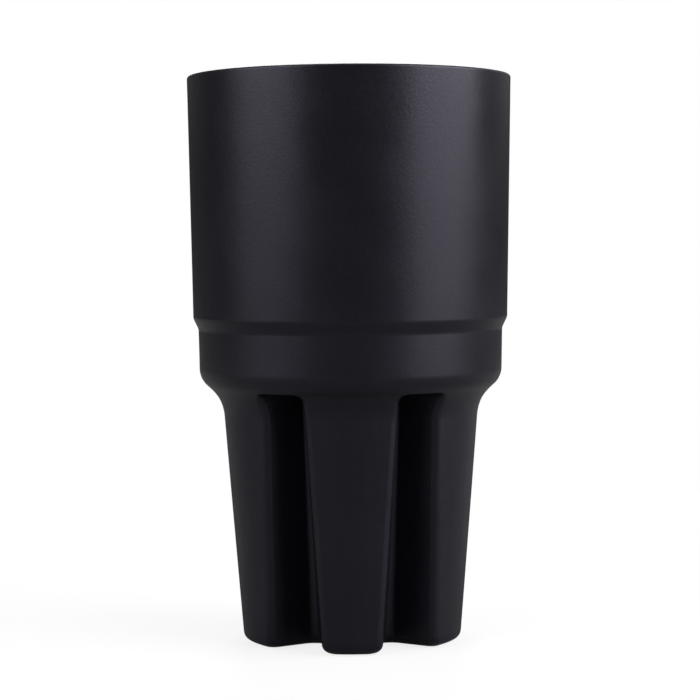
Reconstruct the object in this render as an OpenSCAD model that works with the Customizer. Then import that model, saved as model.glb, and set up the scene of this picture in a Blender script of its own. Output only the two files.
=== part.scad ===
// Cup holder expander: a wide cup on a tapered, fluted plug, moulded in one piece.
// The plug drops into a car's cup holder and the cup above it takes a large bottle.
// The axis is Z, the base stands on Z = 0 and one rib of the plug faces -Y.

/* [Cup] */
// Outside diameter of the cup at its rim
rim_d = 100; // [92:0.5:108]
// Height of the cup's wall above the step
cup_h = 73.8; // [55:0.1:110]
// Draft of the cup's wall, in degrees
cup_draft = 0.95; // [0.5:0.05:2]
// Thickness of the moulded wall
wall = 2.4; // [1.6:0.1:2.8]
// Radius of the rim's two edges
rim_r = 0.8; // [0.4:0.1:1.1]

/* [Step and band] */
// How far the step goes in, measured along the radius
step_in = 1.6; // [1.2:0.1:3]
// Height of the step
step_h = 4.6; // [4.6:0.1:8]
// Steepest slope of the step, in degrees from the vertical
step_slope = 26; // [24:1:40]
// Radius of the bends above and below the step
step_r = 3; // [3:0.1:5]
// Height of the band between the step and the shoulder
band_h = 11.7; // [6:0.1:25]

/* [Shoulder] */
// Height of the shoulder's upper edge above the base
shoulder_z = 83.9; // [76:0.1:110]
// Slope of the shoulder, in degrees from the vertical
shoulder_slope = 48; // [42:1:54]
// Radius of the shoulder's upper bend
shoulder_r = 6.8; // [5:0.1:9]
// Radius of the bend from the shoulder into the ribs
shoulder_foot_r = 12.7; // [8:0.1:16]

/* [Plug] */
// Diameter over the ribs at the base, before the edge is rounded
plug_d = 70; // [66:0.2:74]
// Draft of the ribs' outer faces, in degrees
plug_draft = 4; // [3:0.05:5]
// Thickness of the floor
floor_t = 2.6; // [2:0.1:5]
// Radius of the edge round the base
base_r = 3.2; // [2:0.1:3.8]

/* [Flutes] */
// Number of flutes, and of ribs between them
flutes = 6; // [5:1:7]
// Distance from the axis to the point of a flute's vee at the base
flute_in = 17.1; // [15:0.1:19]
// How far the bottom of a flute leans outwards, in degrees
flute_lean = 7.75; // [6.5:0.05:8.5]
// Half of the angle between a flute's two sides
flute_half_angle = 28.5; // [26:0.5:31]
// Radius along the bottom of a flute at the base
flute_root_r = 3; // [2:0.1:3.8]
// The same radius under the ceiling of the flute
flute_tip_r = 0.6; // [0.4:0.1:3]
// Radius along the edges of the ribs
rib_r = 2.7; // [2.5:0.05:3.5]
// Drop from the shoulder's upper edge to the flat ceiling of the flutes
flute_drop = 5.5; // [5:0.1:8]
// Radius between a flute's sides and its ceiling
flute_top_r = 3; // [1:0.1:3]
// Radius of the ledges' edges inside the cup
ledge_r = 2; // [1:0.1:2.5]

/* [Hidden] */
$fn = 180;
plastic = [0.13, 0.13, 0.14];
// How far a cutting shape passes the surface that it cuts
over = 1;
// A flute's outline leaves the rib's face at this angle, then runs on and out clear of it
face_angle = 6;
face_run = 1.5;
face_clear = 6;
// Least radius that an arc of a flute's outline keeps
least_r = 0.3;

// Radii and heights of the walls, from the base up
plug_r = plug_d / 2;
rim_rad = rim_d / 2;
band_top_z = shoulder_z + band_h;
step_top_z = band_top_z + step_h;
total_h = step_top_z + cup_h;
cup_foot_r = rim_rad - cup_h * tan(cup_draft);
band_top_r = cup_foot_r - step_in;
band_foot_r = band_top_r - band_h * tan(cup_draft);
ceiling_z = shoulder_z - flute_drop;
floor_edge_r = max(base_r - wall, 0.8);
pitch = 360 / flutes;

// Outward normal of a wall that narrows downwards by a degrees
function normal(a) = [cos(a), -sin(a)];
// Direction down the face of such a wall
function downhill(a) = [-sin(a), -cos(a)];
// Points of an arc about c, from the normal at a0 to the normal at a1
function bend(c, r, a0, a1, n) = [for (i = [0 : n]) c + r * normal(a0 + (a1 - a0) * i / n)];

// A wall that leans a1 bends at top to a slope, and bends back to the wall that leans a2
// through low. The bends have radii r1 and r2, and skin moves the line inwards.
function ogee(top, a1, low, a2, slope, r1, r2, skin, n) =
    let (c1 = top - r1 * normal(a1),
         c0 = c1 + (r1 + r2) * normal(slope),
         run = (r2 - (c0 - low) * normal(a2)) / (downhill(slope) * normal(a2)),
         c2 = c0 + run * downhill(slope))
    concat(bend(c1, r1 - skin, a1, slope, n), bend(c2, -(r2 + skin), slope, a2, n));

// The step and the shoulder as one line from the cup's wall down to the ribs
function side(skin) = concat(
    ogee([cup_foot_r, step_top_z], cup_draft, [band_top_r, band_top_z], cup_draft,
         step_slope, step_r, step_r, skin, 5),
    ogee([band_foot_r, shoulder_z], cup_draft, [plug_r, 0], plug_draft,
         shoulder_slope, shoulder_r, shoulder_foot_r, skin, 9));

// The bend of radius r from the ribs' wall, moved in by skin, into a floor at height z
function foot(skin, z, r) =
    let (a = plug_draft, c = plug_r + ((z + r) * sin(a) - skin - r) / cos(a))
    bend([c, z + r], r, a, 90, 6);

// The rim's two edges
function rim_out() =
    let (c = rim_rad - rim_r * (1 + sin(cup_draft)) / cos(cup_draft))
    bend([c, total_h - rim_r], rim_r, -90, cup_draft, 5);
function rim_in() =
    let (c = rim_rad - (wall - rim_r * (1 - sin(cup_draft))) / cos(cup_draft))
    bend([c, total_h - rim_r], -rim_r, 90, cup_draft, 5);

outer_line = concat(rim_out(), side(0), foot(0, 0, base_r));
inner_line = concat(rim_in(), side(wall), foot(wall, floor_t, floor_edge_r));
shoulder_foot_z = side(0)[len(side(0)) - 1][1];

// Radius of the outside at height z, with the rounded base and with a sharp one
outer_table = [for (i = [len(outer_line) - 1 : -1 : 0]) [outer_line[i][1], outer_line[i][0]]];
sharp_table = concat([[0, plug_r]], [for (p = outer_table) if (p[0] > base_r) p]);
function outer_at(z) = lookup(z, outer_table);
function sharp_at(z) = lookup(z, sharp_table);

// Where the sides of a flute would meet, at height z
function vee_at(z) = flute_in + z * tan(flute_lean);
// Radius along the bottom of a flute at height z
function root_at(z) = flute_root_r + (flute_tip_r - flute_root_r) * z / ceiling_z;
// How far the rounded base stands back from a sharp one, at height z
function sink_at(z) = sharp_at(z) - outer_at(z);
// Centre of the arc along a rib's edge, which touches the flute's side and the rib's face. At
// the base both stand back, and the arc keeps its radius.
function rib_edge(z) =
    let (b = flute_half_angle, v = vee_at(z), back = rib_r + sink_at(z), reach = outer_at(z) - rib_r,
         run = sqrt(reach * reach - pow(v * sin(b) - back, 2)) - v * cos(b))
    [v + run * cos(b) - back * sin(b), run * sin(b) + back * cos(b)];

// Half of a flute's outline at height z, widened by grow, from its bottom out past the rib
function half_flute(z, grow, n) =
    let (b = flute_half_angle, c = rib_edge(z), a0 = b - 90,
         a1 = atan2(c[1], c[0]) - face_angle,
         edge_r = max(rib_r - grow, least_r), spread = sink_at(z) + grow,
         root_r = max(root_at(z) + spread, least_r),
         root_x = vee_at(z) + (root_r - spread) / sin(b),
         root = [for (i = [0 : n]) let (a = 180 + (b - 90) * i / n)
                 [root_x + root_r * cos(a), root_r * sin(a)]],
         edge = [for (i = [0 : n]) let (a = a0 + (a1 - a0) * i / n)
                 c + edge_r * [cos(a), sin(a)]],
         out = edge[n] + face_run * [-sin(a1), cos(a1)])
    concat(root, edge, [out, out * (1 + face_clear / norm(out))]);

// The whole outline, shown at height z and worked out for the height at. Its first point is
// the one furthest out, from which all the others are in sight.
function flute_ring(z, at, grow, n) =
    let (half = half_flute(at, grow, n), last = len(half) - 1)
    concat([[norm(half[last]), 0, z]],
           [for (i = [last : -1 : 1]) [half[i][0], -half[i][1], z]],
           [for (p = half) [p[0], p[1], z]]);

// A solid through rings of equally many points, from the lowest to the highest
module loft(rings) {
    n = len(rings[0]);
    top = len(rings) - 1;
    sides = [for (k = [0 : top - 1]) for (i = [0 : n - 1])
        let (j = (i + 1) % n, a = k * n, b = a + n)
        each [[a + i, b + j, b + i], [a + i, a + j, b + j]]];
    polyhedron([for (ring = rings) each ring],
               concat([[for (i = [n - 1 : -1 : 0]) i]], sides,
                      [[for (i = [0 : n - 1]) top * n + i]]));
}

// Heights from the base's edge to a bend of radius r under a top at height z
function rising(z, r) = concat(
    [for (i = [1 : 3]) base_r + (shoulder_foot_z - base_r) * i / 3],
    [for (i = [1 : 4]) shoulder_foot_z + (z - r - shoulder_foot_z) * i / 4]);

// The hollow of a flute, which flares at the rounded base and closes under its ceiling
module flute() {
    r = flute_top_r;
    n = 6;
    loft(concat(
        [flute_ring(-over, 0, 0, n)],
        [for (a = [90 : -15 : 0]) let (z = base_r * (1 - sin(a))) flute_ring(z, z, 0, n)],
        [for (z = rising(ceiling_z, r)) flute_ring(z, z, 0, n)],
        [for (a = [22.5 : 22.5 : 90])
            let (z = ceiling_z - r * (1 - sin(a))) flute_ring(z, z, -r * (1 - cos(a)), n)]));
}

// The wall round a flute as seen from inside, from the floor up to its ledge
module flute_housing() {
    r = ledge_r;
    top = ceiling_z + wall;
    n = 4;
    loft(concat(
        [for (z = [floor_t - over, base_r]) flute_ring(z, max(z, 0), wall, n)],
        [for (z = rising(top, r)) flute_ring(z, z, wall, n)],
        [for (a = [30 : 30 : 90])
            let (z = top - r * (1 - sin(a))) flute_ring(z, z, wall - r * (1 - cos(a)), n)]));
}

// The outside as one turned form, without its flutes
module outside() {
    rotate_extrude() polygon(concat([[0, 0], [0, total_h]], outer_line));
}

// The hollow inside, with the flutes' walls standing in it
module inside() {
    difference() {
        rotate_extrude()
            polygon(concat([[0, floor_t], [0, total_h + over], [inner_line[0][0], total_h + over]],
                           inner_line));
        for (k = [0 : flutes - 1]) rotate(k * pitch) flute_housing();
    }
}

module expander_body() {
    color(plastic)
    difference() {
        outside();
        inside();
        for (k = [0 : flutes - 1]) rotate(k * pitch) flute();
    }
}

expander_body();
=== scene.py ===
"""A studio picture of a cup holder expander, moulded in one piece of black plastic.

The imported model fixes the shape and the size. This script dresses it: the moulding gets
a smooth skin and a satin, spark-eroded plastic, and it stands on a pale floor among
softboxes. Lengths are in metres, +Z is up and the camera looks along +Y.
"""
import logging
import math
from dataclasses import dataclass, field
from enum import Enum

import bmesh
import bpy
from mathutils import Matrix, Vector


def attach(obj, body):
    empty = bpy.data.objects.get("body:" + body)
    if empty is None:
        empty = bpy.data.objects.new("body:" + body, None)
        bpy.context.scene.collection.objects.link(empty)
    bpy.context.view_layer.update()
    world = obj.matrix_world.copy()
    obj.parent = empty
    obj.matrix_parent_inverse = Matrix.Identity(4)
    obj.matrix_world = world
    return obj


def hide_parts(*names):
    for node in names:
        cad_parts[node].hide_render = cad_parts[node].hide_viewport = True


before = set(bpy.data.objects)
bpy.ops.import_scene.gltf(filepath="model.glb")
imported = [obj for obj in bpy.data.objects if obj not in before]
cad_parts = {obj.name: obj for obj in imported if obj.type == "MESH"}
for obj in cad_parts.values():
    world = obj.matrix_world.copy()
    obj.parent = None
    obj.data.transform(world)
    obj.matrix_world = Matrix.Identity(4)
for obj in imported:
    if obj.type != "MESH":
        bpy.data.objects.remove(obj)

LOG = logging.getLogger("cup_holder_expander")
MM = 0.001
WHITE = (1.0, 1.0, 1.0, 1.0)


class Ray(Enum):
    """The kinds of ray that a stage surface tells apart, by their Light Path sockets."""

    CAMERA = "Is Camera Ray"
    GLOSSY = "Is Glossy Ray"
    TRANSMISSION = "Is Transmission Ray"


class NodeSheet:
    """The node tree of a material or a world, with short ways to add to it."""

    # The places of the Mix node's colours among its inputs and outputs.
    COLOUR_A = 6
    COLOUR_B = 7
    COLOUR_RESULT = 2

    def __init__(self, tree: bpy.types.NodeTree) -> None:
        """Takes a tree and empties it."""
        self.tree = tree
        self.tree.nodes.clear()

    def add(self, kind: str, **values: object) -> bpy.types.Node:
        """Adds a node and sets some of its attributes and inputs.

        Args:
            kind: the node's type name.
            values: attributes of the node, or its inputs with spaces as underscores.

        Returns:
            The new node.
        """
        node = self.tree.nodes.new(kind)
        for name, value in values.items():
            if hasattr(node, name):
                setattr(node, name, value)
            else:
                node.inputs[name.replace("_", " ")].default_value = value
        return node

    def link(self, source: bpy.types.NodeSocket, target: bpy.types.NodeSocket) -> None:
        """Joins an output to an input."""
        self.tree.links.new(source, target)

    def math(self, operation: str, first: bpy.types.NodeSocket,
             second: bpy.types.NodeSocket | float) -> bpy.types.NodeSocket:
        """Adds a Math node.

        Args:
            operation: the node's operation.
            first: the socket that feeds its first input.
            second: a socket or a number for its second input.

        Returns:
            The node's output.
        """
        node = self.add("ShaderNodeMath", operation=operation)
        self.link(first, node.inputs[0])
        if isinstance(second, bpy.types.NodeSocket):
            self.link(second, node.inputs[1])
        else:
            node.inputs[1].default_value = second
        return node.outputs[0]

    def blend(self, first: bpy.types.NodeSocket, second: bpy.types.NodeSocket,
              share: float) -> bpy.types.NodeSocket:
        """Adds up two values, the first by its share and the second by the rest."""
        return self.math("ADD", self.math("MULTIPLY", first, share),
                         self.math("MULTIPLY", second, 1.0 - share))

    def remap(self, value: bpy.types.NodeSocket, low: float, high: float,
              start: float = 0.0, end: float = 1.0) -> bpy.types.NodeSocket:
        """Spreads a value that runs from start to end over low to high.

        Args:
            value: the socket that carries the value.
            low: what start becomes.
            high: what end becomes.
            start: the value's lower limit.
            end: the value's upper limit.

        Returns:
            The remapped value.
        """
        node = self.add("ShaderNodeMapRange", From_Min=start, From_Max=end, To_Min=low, To_Max=high)
        self.link(value, node.inputs["Value"])
        return node.outputs["Result"]

    def mix_colours(self, share: bpy.types.NodeSocket, first: tuple[float, ...],
                    second: tuple[float, ...]) -> bpy.types.NodeSocket:
        """Goes from one colour to another.

        Args:
            share: the second colour's share.
            first: the colour at a share of 0.
            second: the colour at a share of 1.

        Returns:
            The mixed colour.
        """
        node = self.add("ShaderNodeMix", data_type="RGBA")
        self.link(share, node.inputs["Factor"])
        node.inputs[self.COLOUR_A].default_value = (*first, 1.0)
        node.inputs[self.COLOUR_B].default_value = (*second, 1.0)
        return node.outputs[self.COLOUR_RESULT]

    def mix_shaders(self, share: bpy.types.NodeSocket, first: bpy.types.NodeSocket,
                    second: bpy.types.NodeSocket) -> bpy.types.NodeSocket:
        """Goes from one shader to another.

        Args:
            share: the second shader's share.
            first: the shader at a share of 0.
            second: the shader at a share of 1.

        Returns:
            The mixed shader.
        """
        node = self.add("ShaderNodeMixShader")
        for source, target in zip((share, first, second), node.inputs):
            self.link(source, target)
        return node.outputs[0]

    def shown(self, glossy_share: float) -> bpy.types.NodeSocket:
        """A factor that is 1 where the camera looks, also through glass, and 0 for the lighting.

        Args:
            glossy_share: the factor for mirrored rays.

        Returns:
            The factor.
        """
        path = self.add("ShaderNodeLightPath")
        shares = {Ray.CAMERA: 1.0, Ray.TRANSMISSION: 1.0, Ray.GLOSSY: glossy_share}
        parts = [self.math("MULTIPLY", path.outputs[ray.value], share) for ray, share in shares.items()]
        total = parts[0]
        for part in parts[1:]:
            total = self.math("MAXIMUM", total, part)
        return total


@dataclass(frozen=True)
class Speckle:
    """A noise on the piece's own coordinates, with spots of about one size."""

    size: float
    detail: float
    roughness: float

    def build(self, sheet: NodeSheet, place: bpy.types.NodeSocket) -> bpy.types.NodeSocket:
        """Adds the noise.

        Args:
            sheet: the material's nodes.
            place: the coordinates.

        Returns:
            The noise, from 0 to 1.
        """
        node = sheet.add("ShaderNodeTexNoise", Scale=1.0 / self.size, Detail=self.detail,
                         Roughness=self.roughness)
        sheet.link(place, node.inputs["Vector"])
        return node.outputs["Fac"]


@dataclass(frozen=True)
class MouldedPlastic:
    """Satin black plastic from a spark-eroded mould.

    The mould leaves a fine even grain. Its gloss drifts a little from place to place, and
    handling has polished it in soft patches.
    """

    name: str = "black_plastic"
    colour: tuple[float, float, float] = (0.0050, 0.0046, 0.0070)
    pale_colour: tuple[float, float, float] = (0.0088, 0.0081, 0.0122)
    sheen_tint: tuple[float, float, float] = (0.84, 0.80, 1.0)
    gloss_low: float = 0.31
    gloss_high: float = 0.40
    grain: Speckle = Speckle(size=0.7 * MM, detail=3.0, roughness=0.55)
    pits: Speckle = Speckle(size=1.6 * MM, detail=2.0, roughness=0.5)
    patches: Speckle = Speckle(size=22 * MM, detail=3.0, roughness=0.5)
    grain_depth: float = 0.042 * MM
    # Most of a noise lies in this part of its range.
    noise_reach: tuple[float, float] = (0.3, 0.7)
    least_wear: float = 0.55
    patches_in_gloss: float = 0.7
    grain_in_relief: float = 0.75

    def material(self) -> bpy.types.Material:
        """Makes the material.

        Returns:
            The material, on Object coordinates.
        """
        made = bpy.data.materials.new(self.name)
        made.use_nodes = True
        sheet = NodeSheet(made.node_tree)
        place = sheet.add("ShaderNodeTexCoord").outputs["Object"]
        grain = self.grain.build(sheet, place)
        pits = self.pits.build(sheet, place)
        patches = self.patches.build(sheet, place)
        shader = sheet.add("ShaderNodeBsdfPrincipled", Specular_Tint=(*self.sheen_tint, 1.0))
        sheet.link(self._colour(sheet, grain, patches), shader.inputs["Base Color"])
        sheet.link(self._roughness(sheet, pits, patches), shader.inputs["Roughness"])
        sheet.link(self._relief(sheet, grain, pits), shader.inputs["Normal"])
        out = sheet.add("ShaderNodeOutputMaterial")
        sheet.link(shader.outputs["BSDF"], out.inputs["Surface"])
        made.diffuse_color = (*self.colour, 1.0)
        return made

    def _colour(self, sheet: NodeSheet, grain: bpy.types.NodeSocket,
                patches: bpy.types.NodeSocket) -> bpy.types.NodeSocket:
        """The black, a little paler on the tops of the grain and in worn patches.

        Args:
            sheet: the material's nodes.
            grain: the fine grain.
            patches: the wide patches.

        Returns:
            The colour.
        """
        tops = sheet.remap(grain, 0.0, 1.0, *self.noise_reach)
        wear = sheet.remap(patches, self.least_wear, 1.0, *self.noise_reach)
        return sheet.mix_colours(sheet.math("MULTIPLY", tops, wear), self.colour, self.pale_colour)

    def _roughness(self, sheet: NodeSheet, pits: bpy.types.NodeSocket,
                   patches: bpy.types.NodeSocket) -> bpy.types.NodeSocket:
        """The roughness, which follows the patches and a little of the pits."""
        drift = sheet.blend(patches, pits, self.patches_in_gloss)
        return sheet.remap(drift, self.gloss_low, self.gloss_high, *self.noise_reach)

    def _relief(self, sheet: NodeSheet, grain: bpy.types.NodeSocket,
                pits: bpy.types.NodeSocket) -> bpy.types.NodeSocket:
        """The grain as a bump.

        Args:
            sheet: the material's nodes.
            grain: the fine grain.
            pits: the wider grain.

        Returns:
            The bent normal.
        """
        bump = sheet.add("ShaderNodeBump", Strength=1.0, Distance=self.grain_depth)
        sheet.link(sheet.blend(grain, pits, self.grain_in_relief), bump.inputs["Height"])
        return bump.outputs["Normal"]


@dataclass
class Expander:
    """The moulding: a wide cup on a tapered plug with flutes, all one piece."""

    node: str = "expander_body"
    name: str = "expander_moulding"
    slot: str = "black_plastic"
    weld: float = 0.01 * MM
    crease_deg: float = 32.0
    shading_weight: int = 60
    finish: MouldedPlastic = field(default_factory=MouldedPlastic)

    def build(self) -> bpy.types.Object:
        """Makes the moulding from a welded copy of the CAD solid's mesh, and dresses it.

        Returns:
            The finished piece.
        """
        mesh = self._welded()
        mesh.set_sharp_from_angle(angle=math.radians(self.crease_deg))
        piece = bpy.data.objects.new(self.name, mesh)
        bpy.context.scene.collection.objects.link(piece)
        even = piece.modifiers.new("even_shading", "WEIGHTED_NORMAL")
        even.keep_sharp = True
        even.weight = self.shading_weight
        mesh.materials.clear()
        mesh.materials.append(self.finish.material())
        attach(piece, "root")
        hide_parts(self.node)
        return piece

    def _welded(self) -> bpy.types.Mesh:
        """Copies the CAD mesh and merges its loose triangles into one smooth skin.

        Returns:
            The welded mesh.
        """
        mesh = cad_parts[self.node].data.copy()
        mesh.name = self.name
        work = bmesh.new()
        work.from_mesh(mesh)
        bmesh.ops.remove_doubles(work, verts=work.verts, dist=self.weld)
        bmesh.ops.dissolve_degenerate(work, edges=work.edges, dist=self.weld)
        for face in work.faces:
            face.smooth = True
            face.material_index = 0
        work.to_mesh(mesh)
        work.free()
        loose_normals = mesh.attributes.get("custom_normal")
        if loose_normals is not None:
            mesh.attributes.remove(loose_normals)
        return mesh


@dataclass(frozen=True)
class Softbox:
    """A soft lamp, placed round the moulding by its azimuth from the camera's side."""

    name: str
    azimuth_deg: float
    distance: float
    centre_z: float
    width: float
    height: float
    radiance: float

    def build(self, target: Vector) -> bpy.types.Object:
        """Makes the lamp and aims it at the target.

        Args:
            target: what the lamp lights.

        Returns:
            The lamp, which the camera doesn't see.
        """
        lamp = bpy.data.lights.new(self.name, "AREA")
        lamp.shape = "RECTANGLE"
        lamp.size = self.width
        lamp.size_y = self.height
        # The energy grows with the lamp's face, so the radiance alone says how bright it looks.
        lamp.energy = self.radiance * math.pi * self.width * self.height
        made = bpy.data.objects.new(self.name, lamp)
        turn = math.radians(self.azimuth_deg)
        made.location = (self.distance * math.sin(turn), -self.distance * math.cos(turn), self.centre_z)
        made.rotation_euler = (target - made.location).to_track_quat("-Z", "Y").to_euler()
        made.visible_camera = False
        bpy.context.scene.collection.objects.link(made)
        return made


@dataclass(frozen=True)
class PaleFloor:
    """A white floor, which keeps a soft part of the moulding's shadow.

    The camera sees a dimmed white with a share of the real light and shadow near the
    moulding, and a plain white beyond the shadow's reach.
    """

    name: str = "studio_floor"
    radius: float = 3.0
    segments: int = 64
    drop: float = 0.2 * MM
    grey: float = 0.20
    shadow_share: float = 0.20
    white_near: float = 0.81
    shadow_reach: tuple[float, float] = (0.12, 0.42)
    glossy_share: float = 0.04

    def build(self) -> bpy.types.Object:
        """Makes the floor as a round disc just under the moulding.

        Returns:
            The floor.
        """
        mesh = bpy.data.meshes.new(self.name)
        work = bmesh.new()
        bmesh.ops.create_circle(work, cap_ends=True, segments=self.segments, radius=self.radius)
        bmesh.ops.translate(work, verts=work.verts, vec=(0.0, 0.0, -self.drop))
        work.to_mesh(mesh)
        work.free()
        made = bpy.data.objects.new(self.name, mesh)
        mesh.materials.append(self._material())
        bpy.context.scene.collection.objects.link(made)
        return made

    def _material(self) -> bpy.types.Material:
        """Makes the white, which lights the moulding as a grey and is clear from below.

        Returns:
            The floor's material.
        """
        made = bpy.data.materials.new(self.name)
        made.use_nodes = True
        sheet = NodeSheet(made.node_tree)
        lit = self._diffuse(sheet, self.grey)
        top = sheet.mix_shaders(sheet.shown(self.glossy_share), lit, self._white(sheet))
        clear = sheet.add("ShaderNodeBsdfTransparent").outputs[0]
        below = sheet.add("ShaderNodeNewGeometry").outputs["Backfacing"]
        out = sheet.add("ShaderNodeOutputMaterial")
        sheet.link(sheet.mix_shaders(below, top, clear), out.inputs["Surface"])
        return made

    def _white(self, sheet: NodeSheet) -> bpy.types.NodeSocket:
        """The white that the camera sees: plain far away, and dimmed by the shadow nearby.

        Args:
            sheet: the floor's nodes.

        Returns:
            The shader.
        """
        near = sheet.add("ShaderNodeAddShader")
        sheet.link(self._glow(sheet, self.white_near), near.inputs[0])
        sheet.link(self._diffuse(sheet, self.shadow_share), near.inputs[1])
        place = sheet.add("ShaderNodeTexCoord").outputs["Object"]
        reach = sheet.add("ShaderNodeVectorMath", operation="LENGTH")
        sheet.link(place, reach.inputs[0])
        away = sheet.remap(reach.outputs["Value"], 0.0, 1.0, *self.shadow_reach)
        return sheet.mix_shaders(away, near.outputs[0], self._glow(sheet, 1.0))

    def _diffuse(self, sheet: NodeSheet, grey: float) -> bpy.types.NodeSocket:
        """A matt grey."""
        return sheet.add("ShaderNodeBsdfDiffuse", Color=(grey, grey, grey, 1.0)).outputs[0]

    def _glow(self, sheet: NodeSheet, strength: float) -> bpy.types.NodeSocket:
        """A white that needs no lamp."""
        return sheet.add("ShaderNodeEmission", Color=WHITE, Strength=strength).outputs[0]


@dataclass
class Studio:
    """The floor, the lamps, the world and the camera."""

    target: Vector = field(default_factory=lambda: Vector((0.0, 0.0, 0.1)))
    floor: PaleFloor = field(default_factory=PaleFloor)
    # Name, azimuth, distance, height of the centre, width, height and radiance.
    lamps: tuple[Softbox, ...] = (
        Softbox("left_softbox", -60.0, 1.2, 0.70, 1.15, 1.0, 3.2),
        Softbox("right_softbox", 71.0, 1.2, 0.70, 1.45, 1.0, 4.9),
        Softbox("back_left_softbox", -140.0, 1.2, 0.70, 0.9, 1.0, 0.12),
        Softbox("back_right_softbox", 138.0, 1.2, 0.70, 0.9, 1.0, 0.35),
        Softbox("back_softbox", 180.0, 1.2, 0.80, 0.5, 1.2, 6.0),
        Softbox("overhead_softbox", 0.0, 0.05, 1.6, 0.8, 0.8, 1.6),
        Softbox("left_low_card", -65.0, 0.5, 0.07, 0.35, 0.12, 0.22),
        Softbox("right_low_card", 65.0, 0.5, 0.07, 0.35, 0.12, 0.71),
    )
    fill: float = 0.02
    glossy_share: float = 0.03
    camera_back: float = 637.6 * MM
    camera_side: float = 0.08 * MM
    camera_height: float = 123.7 * MM
    camera_pitch_deg: float = 3.09
    camera_roll_deg: float = 0.39
    camera_clip: float = 10 * MM
    lens: float = 105.3
    sensor: float = 36.0

    def build(self) -> list[bpy.types.Object]:
        """Sets up the whole studio.

        Returns:
            The floor and the lamps.
        """
        made = [self.floor.build()]
        made += [lamp.build(self.target) for lamp in self.lamps]
        self._world()
        self._camera()
        bpy.context.scene.view_settings.view_transform = "Standard"
        return made

    def _world(self) -> None:
        """Makes the surroundings: a dim grey fill that the camera sees as white."""
        world = bpy.data.worlds.new("studio_world")
        bpy.context.scene.world = world
        world.use_nodes = True
        sheet = NodeSheet(world.node_tree)
        fill = sheet.add("ShaderNodeBackground", Color=WHITE, Strength=self.fill).outputs[0]
        white = sheet.add("ShaderNodeBackground", Color=WHITE, Strength=1.0).outputs[0]
        out = sheet.add("ShaderNodeOutputWorld")
        sheet.link(sheet.mix_shaders(sheet.shown(self.glossy_share), fill, white), out.inputs["Surface"])

    def _camera(self) -> None:
        """Makes the camera, a long lens a little above the middle of the moulding."""
        lens = bpy.data.cameras.new("photo_camera")
        lens.lens = self.lens
        lens.sensor_width = self.sensor
        lens.clip_start = self.camera_clip
        camera = bpy.data.objects.new("photo_camera", lens)
        camera.location = (self.camera_side, -self.camera_back, self.camera_height)
        camera.rotation_euler = (math.radians(90.0 - self.camera_pitch_deg),
                                 math.radians(self.camera_roll_deg), 0.0)
        bpy.context.scene.collection.objects.link(camera)
        bpy.context.scene.camera = camera


def main() -> None:
    """Builds the moulding and the studio."""
    logging.basicConfig(level=logging.INFO, format="%(name)s: %(message)s")
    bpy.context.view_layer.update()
    piece = Expander().build()
    LOG.info("%s: %d faces", piece.name, len(piece.data.polygons))
    for made in Studio().build():
        LOG.info("%s: in the studio", made.name)
    bpy.context.view_layer.update()


if __name__ == "__main__":
    main()
